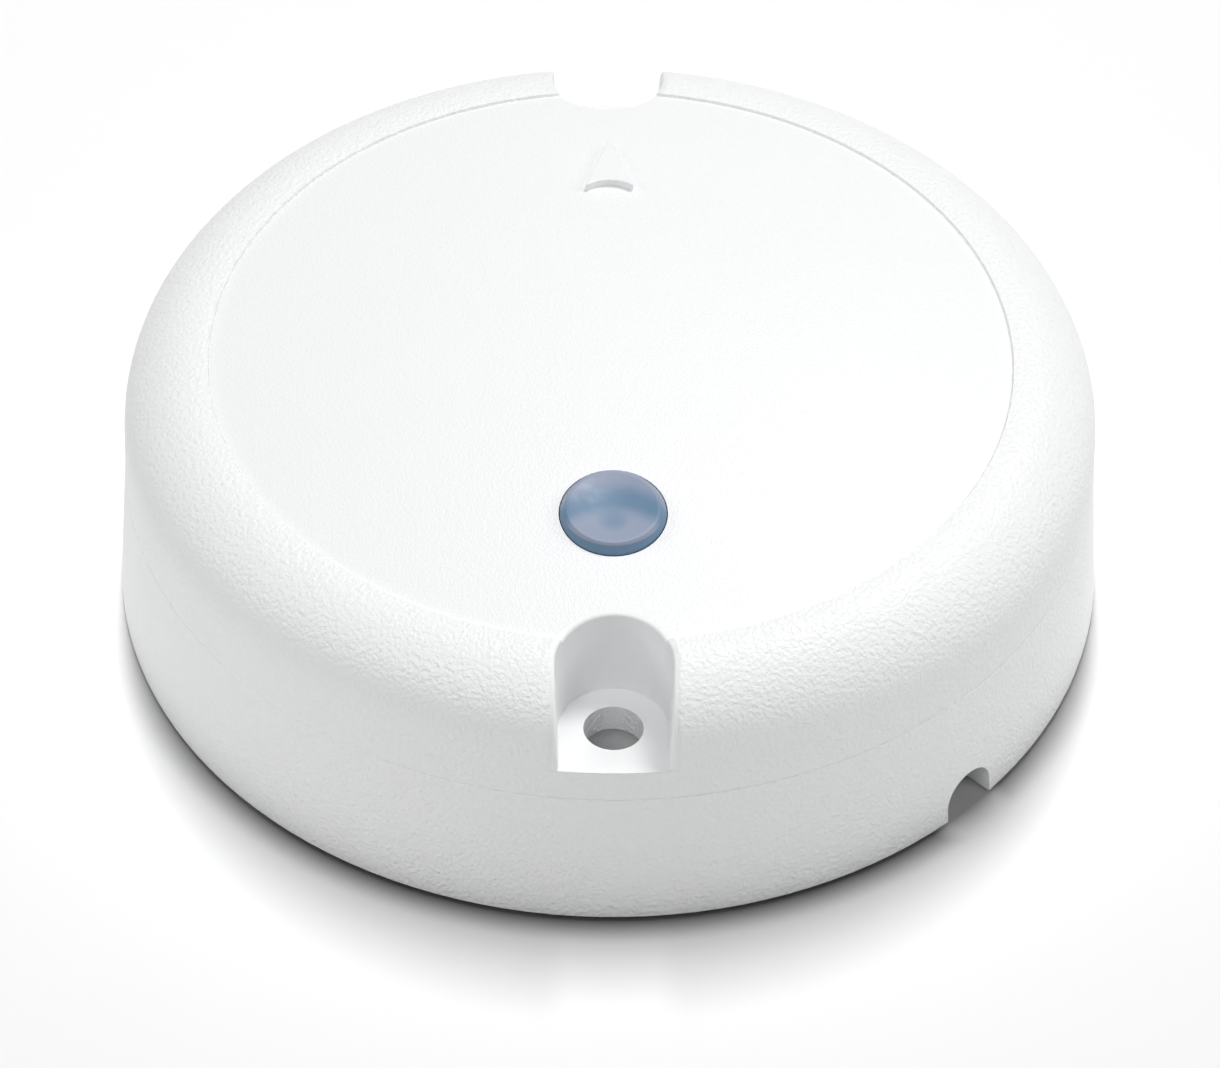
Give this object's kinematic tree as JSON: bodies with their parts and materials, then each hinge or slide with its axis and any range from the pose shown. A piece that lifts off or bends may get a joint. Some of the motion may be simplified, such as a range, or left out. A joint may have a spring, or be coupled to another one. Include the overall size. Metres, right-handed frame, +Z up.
{
  "type": "gnss receiver",
  "caption": "Low round satellite-positioning and heading receiver in a sealed white puck with a domed top, a lit push button, a moulded arrow and two recessed screw pockets.",
  "frame": {"origin": "centre of the base's underside, on the surface it stands on", "axes": "+Z up through the dome, +Y where the moulded arrow points, the button towards -Y"},
  "size_m": [0.0938, 0.0938, 0.031],
  "materials": {
    "white_housing": "moulded white plastic, fine spark-eroded grain on the outside",
    "button_clear": "smoky blue translucent plastic, polished",
    "black_rubber": "smooth moulded rubber",
    "seal_rubber": "grey silicone rubber",
    "screw_steel": "passivated stainless steel",
    "board_green": "solder mask over glass-epoxy laminate",
    "ceramic": "fired antenna ceramic",
    "silver": "silver plated, satin",
    "foam_tape": "adhesive foam",
    "shield_tin": "tin-plated shield can",
    "chip_black": "moulded epoxy package",
    "ferrite": "pressed ferrite",
    "can_aluminium": "bare aluminium can",
    "header_nylon": "natural nylon",
    "gold_pin": "gold-plated contact",
    "lamp_clear": "clear lens over a lamp chip",
    "switch_black": "black nylon"
  },
  "bodies": {
    "housing": {"top_cover": "white_housing", "base": "white_housing", "cable_gland": "black_rubber", "housing_seal": "seal_rubber", "housing_screws": "screw_steel", "screw_seals": "black_rubber", "circuit_board": "board_green", "board_screws": "screw_steel", "antenna_pad": "foam_tape", "antenna_ceramic": "ceramic", "antenna_patch": "silver", "antenna_feed_pin": "gold_pin", "radio_carrier": "board_green", "radio_shield": "shield_tin", "receiver_shield": "shield_tin", "processor": "chip_black", "compass_chip": "chip_black", "motion_chip": "chip_black", "voltage_regulator": "chip_black", "power_choke": "ferrite", "crystal": "shield_tin", "filter_capacitors": "can_aluminium", "header_shell": "header_nylon", "header_pins": "gold_pin", "switch_body": "switch_black", "switch_plate": "shield_tin", "switch_feet": "shield_tin", "status_lamps": "lamp_clear"},
    "button": {"button_cap": "button_clear", "button_seal": "seal_rubber"},
    "plunger": {"switch_plunger": "switch_black"}
  },
  "joints": [
    {"name": "button_press", "type": "slide", "parent": "housing", "child": "button", "axis": [0, 0, -1], "range_m": [0, 0.0005], "stiffness_N_per_m": 4000},
    {"name": "plunger_press", "type": "slide", "parent": "housing", "child": "plunger", "axis": [0, 0, -1], "range_m": [0, 0.0005]}
  ],
  "couplings": [
    {"joint": "plunger_press", "follows": "button_press", "ratio": 1}
  ]
}
